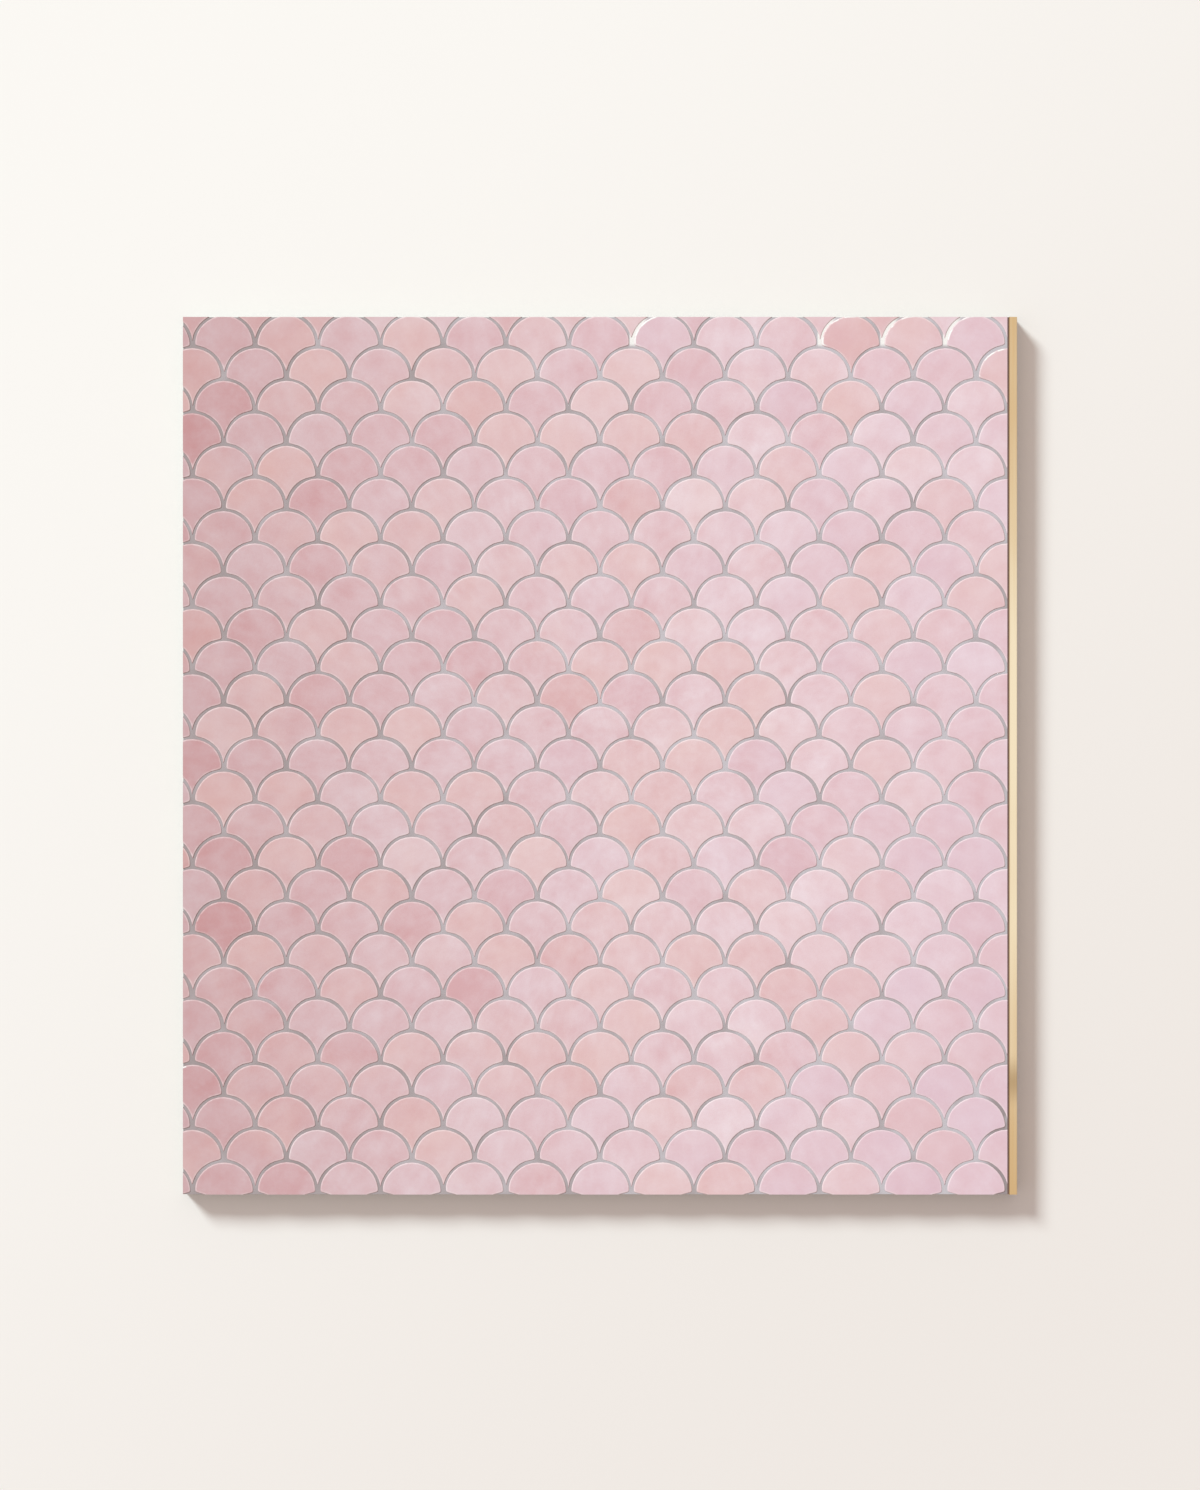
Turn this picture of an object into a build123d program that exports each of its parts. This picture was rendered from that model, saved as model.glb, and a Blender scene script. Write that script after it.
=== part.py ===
from build123d import *
import os
from math import ceil, floor, hypot

# Fish-scale porcelain mosaic panel, lying face up with the origin at the middle of its back.
# X runs towards the brass trim and Y towards the round ends of the chips, in millimetres.

# Panel outline and the layers under the chips
panel_width = 825.0
panel_height = 868.0
board_thickness = 12.0
bed_thickness = 3.0

# Fan chip and the lattice it is laid on
chip_width = 57.8
chip_thickness = 8.0
chip_tail_flat = 0.4
column_pitch = 62.0
row_pitch = 32.2
joint_width = 2.3
grout_recess = 0.7

# Depth of the first whole row's head centres below the upper edge
first_row_drop = 27.6

# Edge trim: a square brass section with a slotted leg held in the adhesive bed
trim_face = 8.0
trim_wall = 1.0
trim_corner_radius = 0.6
trim_joint = 1.6
leg_length = 24.0
slot_length = 14.0
slot_width = 8.0
slot_spacing = 28.0

# Heights of the layers
bed_bottom = board_thickness
bed_top = bed_bottom + bed_thickness
chip_top = bed_top + chip_thickness
grout_thickness = chip_thickness - grout_recess

# Edges of the panel and of the tiled field
panel_left = -panel_width / 2
panel_right = panel_width / 2
panel_top = panel_height / 2
trim_left = panel_right - trim_face
field_right = trim_left - trim_joint
field_width = field_right - panel_left
field_centre = (panel_left + field_right) / 2

# The chip's arcs: its round head, and flanks that run one joint outside the heads of the row below
head_radius = chip_width / 2
flank_radius = head_radius + joint_width
neighbour = Vector(column_pitch / 2, -row_pitch)
neighbour_distance = hypot(column_pitch / 2, row_pitch)
tail_half = max(chip_tail_flat / 2, column_pitch / 2 - flank_radius)


def crossing(first_radius, second_radius):
    """The outer point where the head's circle meets the flank's circle, on the +X side."""
    along = (first_radius**2 - second_radius**2 + neighbour_distance**2) / (2 * neighbour_distance)
    aside = (first_radius**2 - along**2) ** 0.5
    toward = neighbour / neighbour_distance
    return Vector(toward.X * along - toward.Y * aside, toward.Y * along + toward.X * aside)


shoulder = crossing(head_radius, flank_radius)
tail_reach = neighbour.X - tail_half
tail = Vector(tail_half, neighbour.Y + (flank_radius**2 - tail_reach**2) ** 0.5)


def flank_middle():
    """The point of the flank's arc half-way between the shoulder and the tail."""
    outward = (shoulder - neighbour).normalized() + (tail - neighbour).normalized()
    return neighbour + outward.normalized() * flank_radius


def mirrored(point):
    return Vector(-point.X, point.Y)


with BuildSketch() as chip_outline:
    with BuildLine():
        ThreePointArc(shoulder, (0, head_radius), mirrored(shoulder))
        ThreePointArc(mirrored(shoulder), mirrored(flank_middle()), mirrored(tail))
        Line(mirrored(tail), tail)
        ThreePointArc(tail, flank_middle(), shoulder)
    make_face()


def row_height(row):
    """Height on the panel of the centres of a row's heads. Row 0 is the first whole row."""
    return panel_top - first_row_drop - row * row_pitch


def row_places(row):
    """Centres of the chips of one row that reach into the tiled field."""
    start = (row % 2) * column_pitch / 2
    first = ceil((panel_left - head_radius - start) / column_pitch)
    last = floor((field_right + head_radius - start) / column_pitch)
    return [(start + column * column_pitch, row_height(row)) for column in range(first, last + 1)]


# Rows that show, from the tails at the upper edge to the heads at the lower one
first_row = ceil((tail.Y - first_row_drop) / row_pitch)
last_row = floor((panel_height - first_row_drop + head_radius) / row_pitch)
rows = range(first_row, last_row + 1)

os.makedirs("parts", exist_ok=True)

# Backer board
with BuildPart() as backer_board:
    Box(panel_width, panel_height, board_thickness, align=(Align.CENTER, Align.CENTER, Align.MIN))
backer_board.part.label = "backer_board"
export_step(backer_board.part, "parts/backer_board.step")

# Brass edge trim: the hollow section, then the leg with its keying slots
trim_height = chip_top - bed_bottom
with BuildPart() as brass_trim:
    with BuildSketch(Plane.XZ.offset(-panel_top)):
        with Locations((trim_left, bed_bottom)):
            Rectangle(trim_face, trim_height, align=(Align.MIN, Align.MIN))
        with Locations((trim_left + trim_wall, bed_bottom + trim_wall)):
            Rectangle(
                trim_face - 2 * trim_wall,
                trim_height - 2 * trim_wall,
                align=(Align.MIN, Align.MIN),
                mode=Mode.SUBTRACT,
            )
        with Locations((trim_left - leg_length, bed_bottom)):
            Rectangle(leg_length, trim_wall, align=(Align.MIN, Align.MIN))
    extrude(amount=panel_height)
    upper_edges = brass_trim.edges().filter_by(Axis.Y).group_by(Axis.Z)[-1]
    fillet(upper_edges, trim_corner_radius)
    with BuildSketch(Plane.XY.offset(bed_bottom)):
        with Locations((trim_left - leg_length / 2, 0)):
            with GridLocations(0, slot_spacing, 1, floor(panel_height / slot_spacing)):
                SlotOverall(slot_length, slot_width)
    extrude(amount=trim_wall, mode=Mode.SUBTRACT)
brass_trim.part.label = "brass_trim"
export_step(brass_trim.part, "parts/brass_trim.step")

# Adhesive bed: fills the space round the trim's leg and through its slots
with BuildPart() as adhesive_bed:
    with BuildSketch(Plane.XY.offset(bed_bottom)):
        with Locations((panel_left, 0)):
            Rectangle(trim_left - panel_left, panel_height, align=(Align.MIN, Align.CENTER))
    extrude(amount=bed_thickness)
    add(brass_trim.part, mode=Mode.SUBTRACT)
adhesive_bed.part.label = "adhesive_bed"
export_step(adhesive_bed.part, "parts/adhesive_bed.step")

# Chips, one node for each row, cut off where the row meets the edge of the field
row_faces = []
for number, row in enumerate(rows, start=1):
    with BuildPart() as tile_row:
        with BuildSketch(Plane.XY.offset(bed_top)) as row_sketch:
            with Locations(*row_places(row)):
                add(chip_outline.sketch)
            with Locations((field_centre, 0)):
                Rectangle(field_width, panel_height, mode=Mode.INTERSECT)
        extrude(amount=chip_thickness)
    row_faces += row_sketch.sketch.faces()
    tile_row.part.label = f"tile_row_{number:02d}"
    export_step(tile_row.part, f"parts/tile_row_{number:02d}.step")

# Grout: one sheet that fills the joints between the chips and along the trim, below their faces
with BuildPart() as grout:
    with BuildSketch(Plane.XY.offset(bed_top)):
        with Locations((panel_left, 0)):
            Rectangle(trim_left - panel_left, panel_height, align=(Align.MIN, Align.CENTER))
        add(row_faces, mode=Mode.SUBTRACT)
    extrude(amount=grout_thickness)
grout.part.label = "grout"
export_step(grout.part, "parts/grout.step")
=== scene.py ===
import math
import random

import bmesh
import bpy
from mathutils import Color, Matrix, Vector, noise


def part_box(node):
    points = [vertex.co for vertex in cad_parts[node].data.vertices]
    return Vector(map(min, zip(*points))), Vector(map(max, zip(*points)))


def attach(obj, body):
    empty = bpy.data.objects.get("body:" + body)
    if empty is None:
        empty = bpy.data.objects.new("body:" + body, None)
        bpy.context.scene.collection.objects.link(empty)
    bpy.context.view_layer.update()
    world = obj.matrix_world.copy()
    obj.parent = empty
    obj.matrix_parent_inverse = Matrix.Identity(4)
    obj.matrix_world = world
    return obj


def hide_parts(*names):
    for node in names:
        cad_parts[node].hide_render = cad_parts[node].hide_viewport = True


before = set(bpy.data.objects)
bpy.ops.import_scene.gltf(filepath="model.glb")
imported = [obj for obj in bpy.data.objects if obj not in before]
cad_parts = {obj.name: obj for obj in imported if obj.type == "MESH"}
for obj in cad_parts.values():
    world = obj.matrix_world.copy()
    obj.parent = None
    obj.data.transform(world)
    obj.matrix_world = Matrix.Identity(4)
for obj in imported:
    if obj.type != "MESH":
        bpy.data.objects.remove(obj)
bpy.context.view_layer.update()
scene = bpy.context.scene
scene.view_settings.view_transform = "Standard"
mm = 0.001
print("frame loaded")


class Num:  # a number socket that takes part in Python arithmetic
    def __init__(self, shade, socket):
        self.shade = shade
        self.socket = socket

    def maths(self, operation, *values, clamp=False):
        node = self.shade.add("Math", {"operation": operation, "use_clamp": clamp}, dict(enumerate(values)))
        return Num(self.shade, node.outputs[0])

    def __add__(self, other):
        return self.maths("ADD", self, other)

    def __radd__(self, other):
        return self.maths("ADD", other, self)

    def __sub__(self, other):
        return self.maths("SUBTRACT", self, other)

    def __rsub__(self, other):
        return self.maths("SUBTRACT", other, self)

    def __mul__(self, other):
        return self.maths("MULTIPLY", self, other)

    def __rmul__(self, other):
        return self.maths("MULTIPLY", other, self)

    def __truediv__(self, other):
        return self.maths("DIVIDE", self, other)

    def __rtruediv__(self, other):
        return self.maths("DIVIDE", other, self)

    def __pow__(self, other):
        return self.maths("POWER", self, other)

    def __rpow__(self, other):
        return self.maths("POWER", other, self)

    def __neg__(self):
        return self.maths("MULTIPLY", self, -1.0)

    def __abs__(self):
        return self.maths("ABSOLUTE", self)

    def clamp(self):
        return self.maths("ADD", self, 0.0, clamp=True)

    def ramp(self, low, high):  # smooth 0 to 1 between two values
        node = self.shade.add(
            "MapRange",
            {"interpolation_type": "SMOOTHSTEP"},
            {"Value": self, "From Min": low, "From Max": high},
        )
        return Num(self.shade, node.outputs["Result"])


class Shade:  # one material and the nodes in it
    def __init__(self, name):
        self.material = bpy.data.materials.new(name)
        self.material.use_nodes = True
        self.tree = self.material.node_tree
        self.tree.nodes.clear()
        self.place = self.add("NewGeometry", {}, {}).outputs
        split = self.add("SeparateXYZ", {}, {0: self.place["Position"]})
        self.x = Num(self, split.outputs["X"])
        self.y = Num(self, split.outputs["Y"])

    def add(self, kind, settings, values):
        node = self.tree.nodes.new("ShaderNode" + kind)
        for name, value in settings.items():
            setattr(node, name, value)
        for name, value in values.items():
            socket = node.inputs[name]
            if isinstance(value, Num):
                self.tree.links.new(value.socket, socket)
            elif isinstance(value, bpy.types.NodeSocket):
                self.tree.links.new(value, socket)
            else:
                socket.default_value = value
        return node

    def mix(self, factor, first, second):  # 6, 7 and 2 are the Mix node's colour sockets
        settings = {"data_type": "RGBA", "clamp_factor": True}
        return self.add("Mix", settings, {0: factor, 6: first, 7: second}).outputs[2]

    def noise(self, scale, detail=2.0, roughness=0.5, stretch=(1, 1, 1)):
        spread = self.add("VectorMath", {"operation": "MULTIPLY"}, {0: self.place["Position"], 1: stretch})
        values = {"Vector": spread.outputs[0], "Scale": scale, "Detail": detail, "Roughness": roughness}
        return Num(self, self.add("TexNoise", {}, values).outputs[0])

    def carried(self, name):  # a number that the mesh carries at its points
        return Num(self, self.add("Attribute", {"attribute_name": name}, {}).outputs["Fac"])

    def upright(self):  # how far a face looks up or down, 0 to 1
        split = self.add("SeparateXYZ", {}, {0: self.place["True Normal"]})
        return abs(Num(self, split.outputs["Z"]))

    def surface(self, height, bump, sockets):  # bump is its strength and its depth in metres
        relief = self.add("Bump", {}, {"Height": height, "Strength": bump[0], "Distance": bump[1]})
        shader = self.add("BsdfPrincipled", {}, {**sockets, "Normal": relief.outputs[0]})
        self.add("OutputMaterial", {}, {"Surface": shader.outputs[0]})
        return self.material


def tint(red, green, blue):  # a screen colour, 0 to 255, as the shaders take it
    linear = Color((red / 255, green / 255, blue / 255)).from_srgb_to_scene_linear()
    return (*linear, 1.0)


def linked(name, mesh, look):  # a finished mesh as an object of the scene
    data = bpy.data.meshes.new(name)
    mesh.to_mesh(data)
    mesh.free()
    data.materials.append(look)
    made = bpy.data.objects.new(name, data)
    scene.collection.objects.link(made)
    return made


# Edges of the tiled field and heights of its layers, in millimetres, from the frame
rowBoxes = [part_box(name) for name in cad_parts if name.startswith("tile_row")]
groutLow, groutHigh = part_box("grout")
panel = {
    "left": min(low.x for low, high in rowBoxes) / mm,
    "right": max(high.x for low, high in rowBoxes) / mm,
    "bottom": min(low.y for low, high in rowBoxes) / mm,
    "top": max(high.y for low, high in rowBoxes) / mm,
    "face": max(high.z for low, high in rowBoxes) / mm,
    "bed": groutLow.z / mm,
    "grout": groutHigh.z / mm,
    "trim": groutHigh.x / mm,
}


def fromLeft(shade):  # 0 at the left edge of the field to 1 at the right, levelling off
    width = (panel["right"] - panel["left"]) * mm
    return 1.0 - ((panel["right"] * mm - shade.x) / width).clamp() ** 2.0


# Fan chips, in millimetres and degrees
chip = {
    "head": 28.9,  # radius of the round head
    "joint": 2.3,
    "pitch": 62.0,
    "rise": 32.2,
    "drop": 27.6,  # from the upper edge to the first whole row
    "tail": 0.2,  # half the flat at the tail
    "headPoints": 24,
    "flankPoints": 12,
    "edge": 0.7,
    "softening": 5,  # rounds of smoothing at the shoulders
    "softReach": 3,  # points smoothed on each side of one
    "crown": 0.16,
    "crownReach": 12.0,
    "headroom": 0.08,  # kept free for the tilt
    "give": 0.12,  # mean distance inside the true outline
    "wobble": (0.2, 0.13, 0.09),
    "waves": (2, 5, 9),  # times that each wobble goes round a chip
    "slip": 0.14,
    "turn": 0.5,
    "tilt": 0.14,
    "toneSpread": 0.6,
    "deepShare": 0.13,  # share of chips that are deeper pink
    "deepBy": 1.0,
    "whiteStreak": {(0, 1), (0, 4), (0, 5), (0, 6), (1, 6), (23, -7)},  # row and column of the chips with a white streak on the head
    "streakReach": 4.0,  # past the middle of the head
    "seed": 41,
}
chipMarks = ("tone", "hue", "rim", "whiteStreak")


def shoulderAt(inset):  # where the head's arc meets the right flank's
    head = chip["head"] - inset
    flank = chip["head"] + chip["joint"] + inset
    toward = Vector((chip["pitch"] / 2, -chip["rise"]))
    along = (head**2 - flank**2 + toward.length_squared) / (2 * toward.length)
    aside = math.sqrt(head**2 - along**2)
    unit = toward.normalized()
    return unit * along + Vector((-unit.y, unit.x)) * aside


def pointAt(part, share, inset):  # a point of the outline moved inwards
    shoulder = shoulderAt(inset)
    if part == "head":
        start = math.atan2(shoulder.y, shoulder.x)
        angle = start + (math.pi - 2 * start) * share
        radius = chip["head"] - inset
        return Vector((radius * math.cos(angle), radius * math.sin(angle)))
    centre = Vector((chip["pitch"] / 2, -chip["rise"]))
    radius = chip["head"] + chip["joint"] + inset
    reach = centre.x - chip["tail"]
    tail = Vector((chip["tail"], centre.y + math.sqrt(radius**2 - reach**2)))
    first = math.atan2(shoulder.y - centre.y, shoulder.x - centre.x)
    last = math.atan2(tail.y - centre.y, tail.x - centre.x)
    if part == "left":
        angle = first + (last - first) * share
        return Vector((-centre.x - radius * math.cos(angle), centre.y + radius * math.sin(angle)))
    angle = last + (first - last) * share
    return Vector((centre.x + radius * math.cos(angle), centre.y + radius * math.sin(angle)))


def steps(count):  # 0 to 1, closer together at both ends
    return [0.5 - 0.5 * math.cos(math.pi * k / count) for k in range(count)]


headSteps = steps(chip["headPoints"])
flankSteps = steps(chip["flankPoints"])
outline = [("head", share) for share in headSteps]
outline += [("left", share) for share in flankSteps] + [("left", 1.0)]
outline += [("right", share) for share in flankSteps]
shoulders = (0, len(headSteps))


def ringAt(inset, sway):
    points = [pointAt(part, share, inset + give) for (part, share), give in zip(outline, sway)]
    count = len(points)
    reach = chip["softReach"]
    for _ in range(chip["softening"]):
        before = list(points)
        for shoulder in shoulders:
            for k in range(shoulder - reach, shoulder + reach + 1):
                beside = before[(k - 1) % count] + before[(k + 1) % count]
                points[k % count] = before[k % count] / 2 + beside / 4
    return points


# Rings of a chip from its foot to its middle: distance inwards, height and rim mark
# Marks below 0 paint shade low on a chip's sides; marks above 0 give the pale rim, partly thinner glaze and
# partly a painted highlight
edgeMarks = {0: -1.0, 35: -0.5, 65: 0.6, 90: 1.0}  # by the angle round the edge
faceMarks = {1.2: 0.4, 1.9: 0.0, 6.5: 0.0, chip["crownReach"]: 0.0}  # by the distance inwards
rings = [(0.0, panel["bed"] - panel["face"], -1.0)]
for angle, mark in edgeMarks.items():
    inward = chip["edge"] * (1 - math.cos(math.radians(angle)))
    down = chip["edge"] * (1 - math.sin(math.radians(angle)))
    rings.append((inward, -down, mark))
rings += [(inward, 0.0, mark) for inward, mark in faceMarks.items()]


def wavyEdge(dice):  # how far each point of one chip stands inside the true outline
    phases = [dice.uniform(0, 2 * math.pi) for _ in chip["wobble"]]
    sway = []
    for k in range(len(outline)):
        around = 2 * math.pi * k / len(outline)
        waves = zip(chip["wobble"], chip["waves"], phases)
        wave = sum(size * math.sin(often * around + start) for size, often, start in waves)
        sway.append(wave + chip["give"])
    return sway


def smallTurn(dice):
    turn = Matrix.Rotation(math.radians(dice.gauss(0, chip["turn"])), 4, "Z")
    for axis in "XY":
        lean = math.radians(dice.uniform(-1, 1) * chip["tilt"])
        turn = turn @ Matrix.Rotation(lean, 4, axis)
    return turn


def addChip(mesh, layers, centre, dice, whiteStreak):
    sway = wavyEdge(dice)
    slip = [dice.gauss(0, chip["slip"]) for _ in range(2)]
    spot = Vector((centre[0] + slip[0], centre[1] + slip[1], 0))
    turn = smallTurn(dice)
    tone = dice.gauss(0, chip["toneSpread"])
    if dice.random() < chip["deepShare"]:
        tone -= chip["deepBy"]
    hue = dice.uniform(-1, 1)
    top = panel["face"] - chip["crown"] - chip["headroom"]
    loops = []
    for inset, height, rim in rings:
        slope = 1 - min(inset / chip["crownReach"], 1)
        pillow = chip["crown"] * (1 - slope**2)
        loop = []
        for point in ringAt(inset, sway):
            place = turn @ Vector((point.x, point.y, height + pillow)) + spot
            level = max(panel["bed"], min(place.z + top, panel["face"]))
            made = mesh.verts.new((place.x * mm, place.y * mm, level * mm))
            made[layers["tone"]] = tone
            made[layers["hue"]] = hue
            made[layers["rim"]] = rim
            # the white streak runs along the upper left of the head
            made[layers["whiteStreak"]] = whiteStreak if point.x < chip["streakReach"] and point.y > 0 else 0.0
            loop.append(made)
        loops.append(loop)
    inner = loops[-1]
    peak = mesh.verts.new(sum((made.co for made in inner), Vector()) / len(inner))
    peak[layers["tone"]] = tone
    peak[layers["hue"]] = hue
    for lower, upper in zip(loops, loops[1:]):
        for k in range(len(lower)):
            after = (k + 1) % len(lower)
            mesh.faces.new((lower[k], lower[after], upper[after], upper[k])).smooth = True
    for k in range(len(inner)):
        mesh.faces.new((inner[k], inner[(k + 1) % len(inner)], peak)).smooth = True
    mesh.faces.new(list(reversed(loops[0])))


def cutAt(mesh, place, outward):  # trims a row at the edge of the field and closes the cut
    geometry = mesh.verts[:] + mesh.edges[:] + mesh.faces[:]
    cut = bmesh.ops.bisect_plane(
        mesh, geom=geometry, plane_co=place, plane_no=outward, dist=1e-7, clear_outer=True
    )
    edges = [e for e in cut["geom_cut"] if isinstance(e, bmesh.types.BMEdge)]
    if edges:
        for made in edges:
            made.smooth = False
        bmesh.ops.triangle_fill(mesh, edges=edges, use_beauty=True, normal=outward)


glaze = {
    "leftDark": tint(202, 150, 151),
    "leftLight": tint(214, 187, 190),
    "rightDark": tint(226, 184, 188),
    "rightLight": tint(242, 222, 227),
    "salmon": tint(231, 190, 181),
    "lilac": tint(220, 190, 206),
    # the pale rim, partly thinner glaze and partly a painted highlight
    "rim": tint(246, 233, 231),
    # white streaks on a few heads
    "whiteStreak": tint(253, 251, 247),
    # painted shade low on the chips' sides
    "shade": tint(132, 112, 111),
    "body": tint(212, 202, 190),
    "bodyDark": tint(190, 179, 167),
    "cloudScale": 38.0,
    "mottleScale": 150.0,
    "speckScale": 1300.0,
    "driftScale": 22.0,
    "streakScale": 90.0,
    "lightness": 0.55,
    "toneShare": 0.19,
    "cloudShare": 1.1,
    "mottleShare": 0.45,
    "speckShare": 0.4,
    "salmonShare": 0.36,
    "lilacShare": 0.3,
    "lilacAcross": (-0.4, 0.3),  # metres, from no lilac chips to all of them
    "washAcross": (0.12, 0.42),  # a lilac wash at the right, stronger low down
    "washUp": (-0.4, 0.2),
    "washLow": 0.36,
    "washHigh": 0.12,
    "rimShare": 0.4,
    "rimBreak": 1.6,  # how much the mottle breaks up the pale rim
    "streakEdge": 2.2,
    "shadeShare": 0.75,
    "rough": 0.62,
    "cutRough": 0.28,  # added where a chip is cut
    "specular": 0.25,
    "bump": (0.12, 0.0006),
}


def glazeMaterial():
    glazed = Shade("pink_glaze")
    tone, hue, rim, whiteStreak = (glazed.carried(mark) for mark in chipMarks)
    cloud = glazed.noise(glaze["cloudScale"], 3.0, 0.55)
    mottle = glazed.noise(glaze["mottleScale"], 4.0, 0.6)
    speck = glazed.noise(glaze["speckScale"])
    light = glaze["lightness"] + tone * glaze["toneShare"] + (cloud - 0.5) * glaze["cloudShare"]
    light = light + (mottle - 0.5) * glaze["mottleShare"] + (speck - 0.5) * glaze["speckShare"]
    left = glazed.mix(light.clamp(), glaze["leftDark"], glaze["leftLight"])
    right = glazed.mix(light.clamp(), glaze["rightDark"], glaze["rightLight"])
    # Painted sheen: the chips lighter and paler towards the right
    colour = glazed.mix(fromLeft(glazed), left, right)
    # Salmon and lilac chips, and a lilac wash at the right
    drift = hue + (glazed.noise(glaze["driftScale"]) - 0.5) * 1.6
    colour = glazed.mix((drift * glaze["salmonShare"]).clamp(), colour, glaze["salmon"])
    lilac = (drift * -glaze["lilacShare"]).clamp() * glazed.x.ramp(*glaze["lilacAcross"])
    colour = glazed.mix(lilac, colour, glaze["lilac"])
    fade = glazed.y.ramp(*glaze["washUp"]) * (glaze["washLow"] - glaze["washHigh"])
    wash = glazed.x.ramp(*glaze["washAcross"]) * (glaze["washLow"] - fade)
    colour = glazed.mix(wash, colour, glaze["lilac"])
    # Pale rims, partly thinner glaze and partly painted highlight, white streaks on a few heads, painted
    # shade low on the sides and the bare body at a cut
    paleness = rim.clamp() * (glaze["rimShare"] + (mottle - 0.5) * glaze["rimBreak"])
    colour = glazed.mix(paleness.clamp(), colour, glaze["rim"])
    # white streaks along the rims of a few heads
    streakMask = (rim * glaze["streakEdge"]).clamp() * whiteStreak * glazed.noise(glaze["streakScale"]).ramp(0.42, 0.58)
    colour = glazed.mix(streakMask, colour, glaze["whiteStreak"])
    colour = glazed.mix((-rim).clamp() * glaze["shadeShare"], colour, glaze["shade"])
    cutFace = 1.0 - glazed.upright().ramp(0.02, 0.1)
    colour = glazed.mix(cutFace, colour, glazed.mix(speck, glaze["body"], glaze["bodyDark"]))
    rough = glaze["rough"] + (mottle - 0.5) * 0.2 + cutFace * glaze["cutRough"]
    sockets = {"Base Color": colour, "Roughness": rough, "Specular IOR Level": glaze["specular"]}
    return glazed.surface(mottle + speck * 0.15, glaze["bump"], sockets)


glazeLook = glazeMaterial()
firstRow = -1  # only the tails of this row show
lastRow = 26
dice = random.Random(chip["seed"])
for number, row in enumerate(range(firstRow, lastRow + 1), start=1):
    mesh = bmesh.new()
    layers = {mark: mesh.verts.layers.float.new(mark) for mark in chipMarks}
    start = (row % 2) * chip["pitch"] / 2
    first = math.ceil((panel["left"] - chip["head"] - start) / chip["pitch"])
    last = math.floor((panel["right"] + chip["head"] - start) / chip["pitch"])
    height = panel["top"] - chip["drop"] - row * chip["rise"]
    for column in range(first, last + 1):
        centre = (start + column * chip["pitch"], height)
        addChip(mesh, layers, centre, dice, float((row, column) in chip["whiteStreak"]))
    cutAt(mesh, (panel["left"] * mm, 0, 0), Vector((-1, 0, 0)))
    cutAt(mesh, (panel["right"] * mm, 0, 0), Vector((1, 0, 0)))
    cutAt(mesh, (0, panel["top"] * mm, 0), Vector((0, 1, 0)))
    cutAt(mesh, (0, panel["bottom"] * mm, 0), Vector((0, -1, 0)))
    piece = linked(f"glazed_row_{number:02d}", mesh, glazeLook)
    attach(piece, "root")
    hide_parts(f"tile_row_{number:02d}")
print("chips laid")

# Grout: sizes of the sheet in millimetres, places of the colours in metres
grout = {
    "inset": 0.35,  # back from the outer edges of the chips
    "cell": 4.0,
    "wave": 11.0,
    "dip": 0.18,
    "dark": tint(156, 143, 142),
    "mid": tint(178, 166, 166),
    "cool": tint(202, 196, 200),
    "damp": tint(120, 98, 92),
    # white bands in the joints beside the streaked heads
    "whiteBand": tint(250, 247, 242),
    # painted shade, partly a stain from the brass, for the joint along the trim
    "beside": tint(118, 92, 82),
    "grainScale": 2600.0,
    "patchScale": 26.0,
    "dampAcross": (0.374, 0.392),
    "dampUp": (-0.36, -0.27),
    "dampShare": 0.6,
    "whiteBandFrom": (-0.0335, -0.032),  # from the middle of a head
    "whiteBandTo": (-0.02, -0.013),
    "whiteBandUp": (0.4035, 0.408),
    "besideAcross": (0.4026, 0.4032),  # the joint along the trim, in painted shade and partly stained by the brass
    "rough": 0.85,
    "bump": (0.5, 0.0004),
}


def groutSheet(low, high):  # a trowelled sheet, a little uneven on top
    mesh = bmesh.new()
    size = Vector(high) - Vector(low)
    columns = round(size.x / grout["cell"])
    lines = round(size.y / grout["cell"])
    bmesh.ops.create_grid(mesh, x_segments=columns, y_segments=lines, size=0.5)
    for vert in mesh.verts:
        spot = Vector((low[0] + (vert.co.x + 0.5) * size.x, low[1] + (vert.co.y + 0.5) * size.y, 0))
        spot.z = high[2] + grout["dip"] * noise.noise(spot / grout["wave"])
        vert.co = spot * mm
    for face in mesh.faces:
        face.smooth = True
    rim = [e for e in mesh.edges if e.is_boundary]
    for made in rim:
        made.smooth = False
    for made in bmesh.ops.extrude_edge_only(mesh, edges=rim)["geom"]:
        if isinstance(made, bmesh.types.BMVert):
            made.co.z = low[2] * mm
        else:
            made.smooth = False
    bmesh.ops.edgeloop_fill(mesh, edges=[e for e in mesh.edges if e.is_boundary])
    bmesh.ops.recalc_face_normals(mesh, faces=mesh.faces[:])
    return mesh


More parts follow.
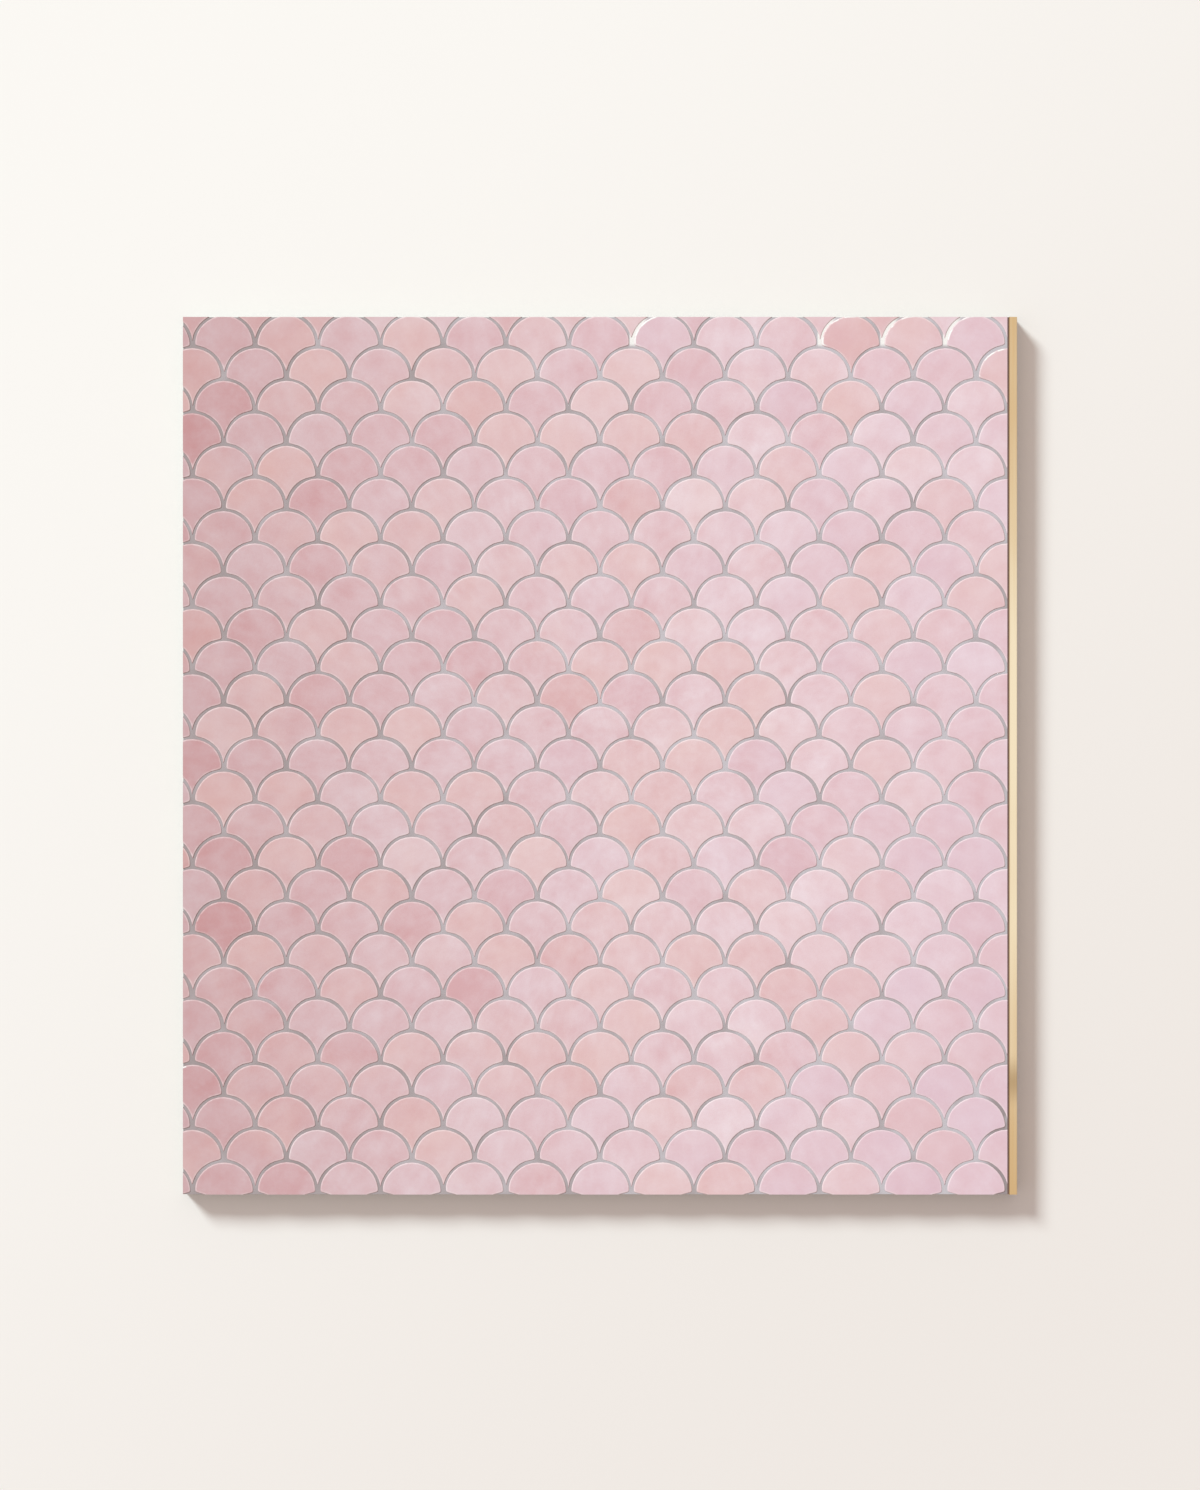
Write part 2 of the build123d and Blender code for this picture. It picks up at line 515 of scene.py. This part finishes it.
def groutMaterial():
    sanded = Shade("sanded_grout")
    grain = sanded.noise(grout["grainScale"])
    patch = sanded.noise(grout["patchScale"], 3.0)
    across = fromLeft(sanded)
    cool = across * 0.9 + (patch - 0.5) * 1.4
    colour = sanded.mix(cool.clamp(), grout["mid"], grout["cool"])
    dark = 0.42 - across * 0.3 - (patch - 0.5) * 1.6 + (grain - 0.5) * 0.8
    colour = sanded.mix(dark.clamp(), colour, grout["dark"])
    damp = sanded.x.ramp(*grout["dampAcross"]) * (1.0 - sanded.y.ramp(*grout["dampUp"]))
    damp = damp * patch.ramp(0.36, 0.5) * grout["dampShare"]
    colour = sanded.mix(damp, colour, grout["damp"])
    for row, column in sorted(chip["whiteStreak"]):  # white bands in the joints beside the streaked heads of the first row
        if row == 0:
            fromHead = sanded.x - column * chip["pitch"] * mm
            band = fromHead.ramp(*grout["whiteBandFrom"]) * (1.0 - fromHead.ramp(*grout["whiteBandTo"]))
            colour = sanded.mix(band * sanded.y.ramp(*grout["whiteBandUp"]), colour, grout["whiteBand"])
    # Painted shade, partly a stain from the brass, darkens the joint along the trim
    colour = sanded.mix(sanded.x.ramp(*grout["besideAcross"]), colour, grout["beside"])
    rough = grout["rough"] + (grain - 0.5) * 0.2
    return sanded.surface(grain, grout["bump"], {"Base Color": colour, "Roughness": rough})


sheet = groutSheet(
    (panel["left"] + grout["inset"], panel["bottom"] + grout["inset"], panel["bed"]),
    (panel["trim"], panel["top"] - grout["inset"], panel["grout"]),
)
joints = linked("joint_grout", sheet, groutMaterial())
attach(joints, "root")
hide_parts("grout")
print("grout filled")

# Brass trim, backer board and adhesive bed keep their own solids; places are in metres
brass = {
    # the cream is a painted highlight
    "cream": tint(255, 238, 203),
    "gold": tint(224, 184, 124),
    "deep": tint(150, 112, 60),
    "brushScale": 420.0,
    "brushStretch": (1.0, 0.02, 1.0),
    "bandScale": 5.0,
    "bandStretch": (0.2, 1.0, 0.2),
    "highlightAt": -0.01,  # where the painted highlight is palest, along the trim
    "highlightReach": (0.1, 0.4),
    # painted reflection: the trim's face darker around this place
    "dimReflectionAt": -0.322,
    "dimReflectionReach": 0.03,
    "dimReflectionShare": 0.5,
    "shadeLineAcross": (0.4048, 0.4056),  # a painted shade line against the joint
    "shadeLineShare": 0.8,
    "rough": 0.4,
    "metal": 0.22,
    "bump": (0.15, 0.0003),
}


def brassMaterial():
    satin = Shade("satin_brass")
    brushed = satin.noise(brass["brushScale"], 3.0, 0.6, brass["brushStretch"])
    band = satin.noise(brass["bandScale"], 2.0, 0.5, brass["bandStretch"])
    # Painted reflection: a cream highlight along the middle of the trim turning gold towards the ends, and
    # darker at one place
    ends = abs(satin.y - brass["highlightAt"]).ramp(*brass["highlightReach"])
    warm = (ends * 0.75 + (band - 0.5) * 0.9 + (brushed - 0.5) * 0.35).clamp()
    colour = satin.mix(warm, brass["cream"], brass["gold"])
    dimReflection = 1.0 - abs(satin.y - brass["dimReflectionAt"]).ramp(0.0, brass["dimReflectionReach"])
    colour = satin.mix(dimReflection * brass["dimReflectionShare"], colour, brass["deep"])
    # Painted shade: a dark line along the trim against the joint
    edge = 1.0 - satin.x.ramp(*brass["shadeLineAcross"])
    colour = satin.mix(edge * brass["shadeLineShare"], colour, brass["deep"])
    rough = brass["rough"] + (brushed - 0.5) * 0.25
    sockets = {"Base Color": colour, "Roughness": rough, "Metallic": brass["metal"] + warm * 0.25}
    return satin.surface(brushed, brass["bump"], sockets)


board = {
    "pale": tint(178, 177, 172),
    "dark": tint(150, 149, 145),
    "thread": tint(196, 196, 190),
    "gritScale": 900.0,
    "patchScale": 14.0,
    "weave": {"Scale": 63.0, "Distortion": 0.4, "Detail": 1.0},
    "threadShare": 0.4,
    "rough": 0.9,
    "bump": (0.45, 0.0006),
}


def boardMaterial():
    fibre = Shade("fibre_cement")
    grit = fibre.noise(board["gritScale"], 3.0)
    patch = fibre.noise(board["patchScale"], 3.0)
    colour = fibre.mix((patch * 0.6 + grit * 0.5 - 0.1).clamp(), board["dark"], board["pale"])
    threads = []
    for direction in "XY":
        values = {"Vector": fibre.place["Position"], **board["weave"]}
        wave = fibre.add("TexWave", {"bands_direction": direction}, values)
        threads.append(Num(fibre, wave.outputs[1]).ramp(0.86, 1.0))
    scrim = (threads[0] + threads[1]).clamp() * fibre.upright()
    colour = fibre.mix(scrim * board["threadShare"], colour, board["thread"])
    sockets = {"Base Color": colour, "Roughness": board["rough"] - scrim * 0.1}
    return fibre.surface(grit + scrim * 1.2, board["bump"], sockets)


adhesive = {
    "pale": tint(184, 180, 172),
    "dark": tint(160, 155, 147),
    "lumpScale": 160.0,
    "gritScale": 1500.0,
    "rough": 0.88,
    "bump": (0.6, 0.001),
}


def adhesiveMaterial():
    mortar = Shade("tile_adhesive")
    lump = mortar.noise(adhesive["lumpScale"], 4.0)
    grit = mortar.noise(adhesive["gritScale"])
    colour = mortar.mix((lump + (grit - 0.5) * 0.6).clamp(), adhesive["dark"], adhesive["pale"])
    sockets = {"Base Color": colour, "Roughness": adhesive["rough"] + (grit - 0.5) * 0.1}
    return mortar.surface(lump + grit * 0.3, adhesive["bump"], sockets)


looks = {"brass_trim": brassMaterial(), "backer_board": boardMaterial(), "adhesive_bed": adhesiveMaterial()}
for name, look in looks.items():
    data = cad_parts[name].data
    data.materials.clear()
    data.materials.append(look)
print("trim, bed and board finished")

# Table, light and camera, in metres and degrees
table = {
    "size": 80.0,
    "bright": tint(251, 248, 243),
    "dim": tint(239, 232, 226),
    "fade": 1.2,
    "grainScale": 60.0,
    "rough": 0.9,
    "bump": (0.02, 0.001),
}


def tableMaterial():
    paper = Shade("pale_table")
    # Painted light: lighter towards the upper left, dimmer towards the lower right
    slope = (paper.x - paper.y).ramp(-table["fade"], table["fade"])
    colour = paper.mix(slope, table["bright"], table["dim"])
    grain = paper.noise(table["grainScale"], 3.0)
    return paper.surface(grain, table["bump"], {"Base Color": colour, "Roughness": table["rough"]})


top = bmesh.new()
bmesh.ops.create_grid(top, x_segments=1, y_segments=1, size=table["size"] / 2)
floor = linked("table_top", top, tableMaterial())

light = {
    "sky": 0.57,
    "skyColour": (1.0, 0.885, 0.85, 1.0),
    "sun": 3.27,
    "sunColour": (0.834, 0.962, 1.0),
    "spread": 16.0,
    "from": (-27.0, 30.0, 23.0),  # direction only
}
world = bpy.data.worlds.new("even_sky")
world.use_nodes = True
sky = world.node_tree.nodes["Background"].inputs
sky["Color"].default_value = light["skyColour"]
sky["Strength"].default_value = light["sky"]
scene.world = world
lamp = bpy.data.lights.new("window", "SUN")
lamp.energy = light["sun"]
lamp.color = light["sunColour"]
lamp.angle = math.radians(light["spread"])
sun = bpy.data.objects.new("window", lamp)
sun.rotation_mode = "QUATERNION"
sun.rotation_quaternion = (-Vector(light["from"])).to_track_quat("-Z", "Y")
scene.collection.objects.link(sun)

view = {"lens": 100.0, "sensor": 36.0, "place": (0.0, 0.0106, 4.116)}  # lens and sensor in millimetres
camera = bpy.data.cameras.new("camera")
camera.lens = view["lens"]
camera.sensor_width = view["sensor"]
eye = bpy.data.objects.new("camera", camera)
eye.location = view["place"]
scene.collection.objects.link(eye)
scene.camera = eye
print("light and camera set")
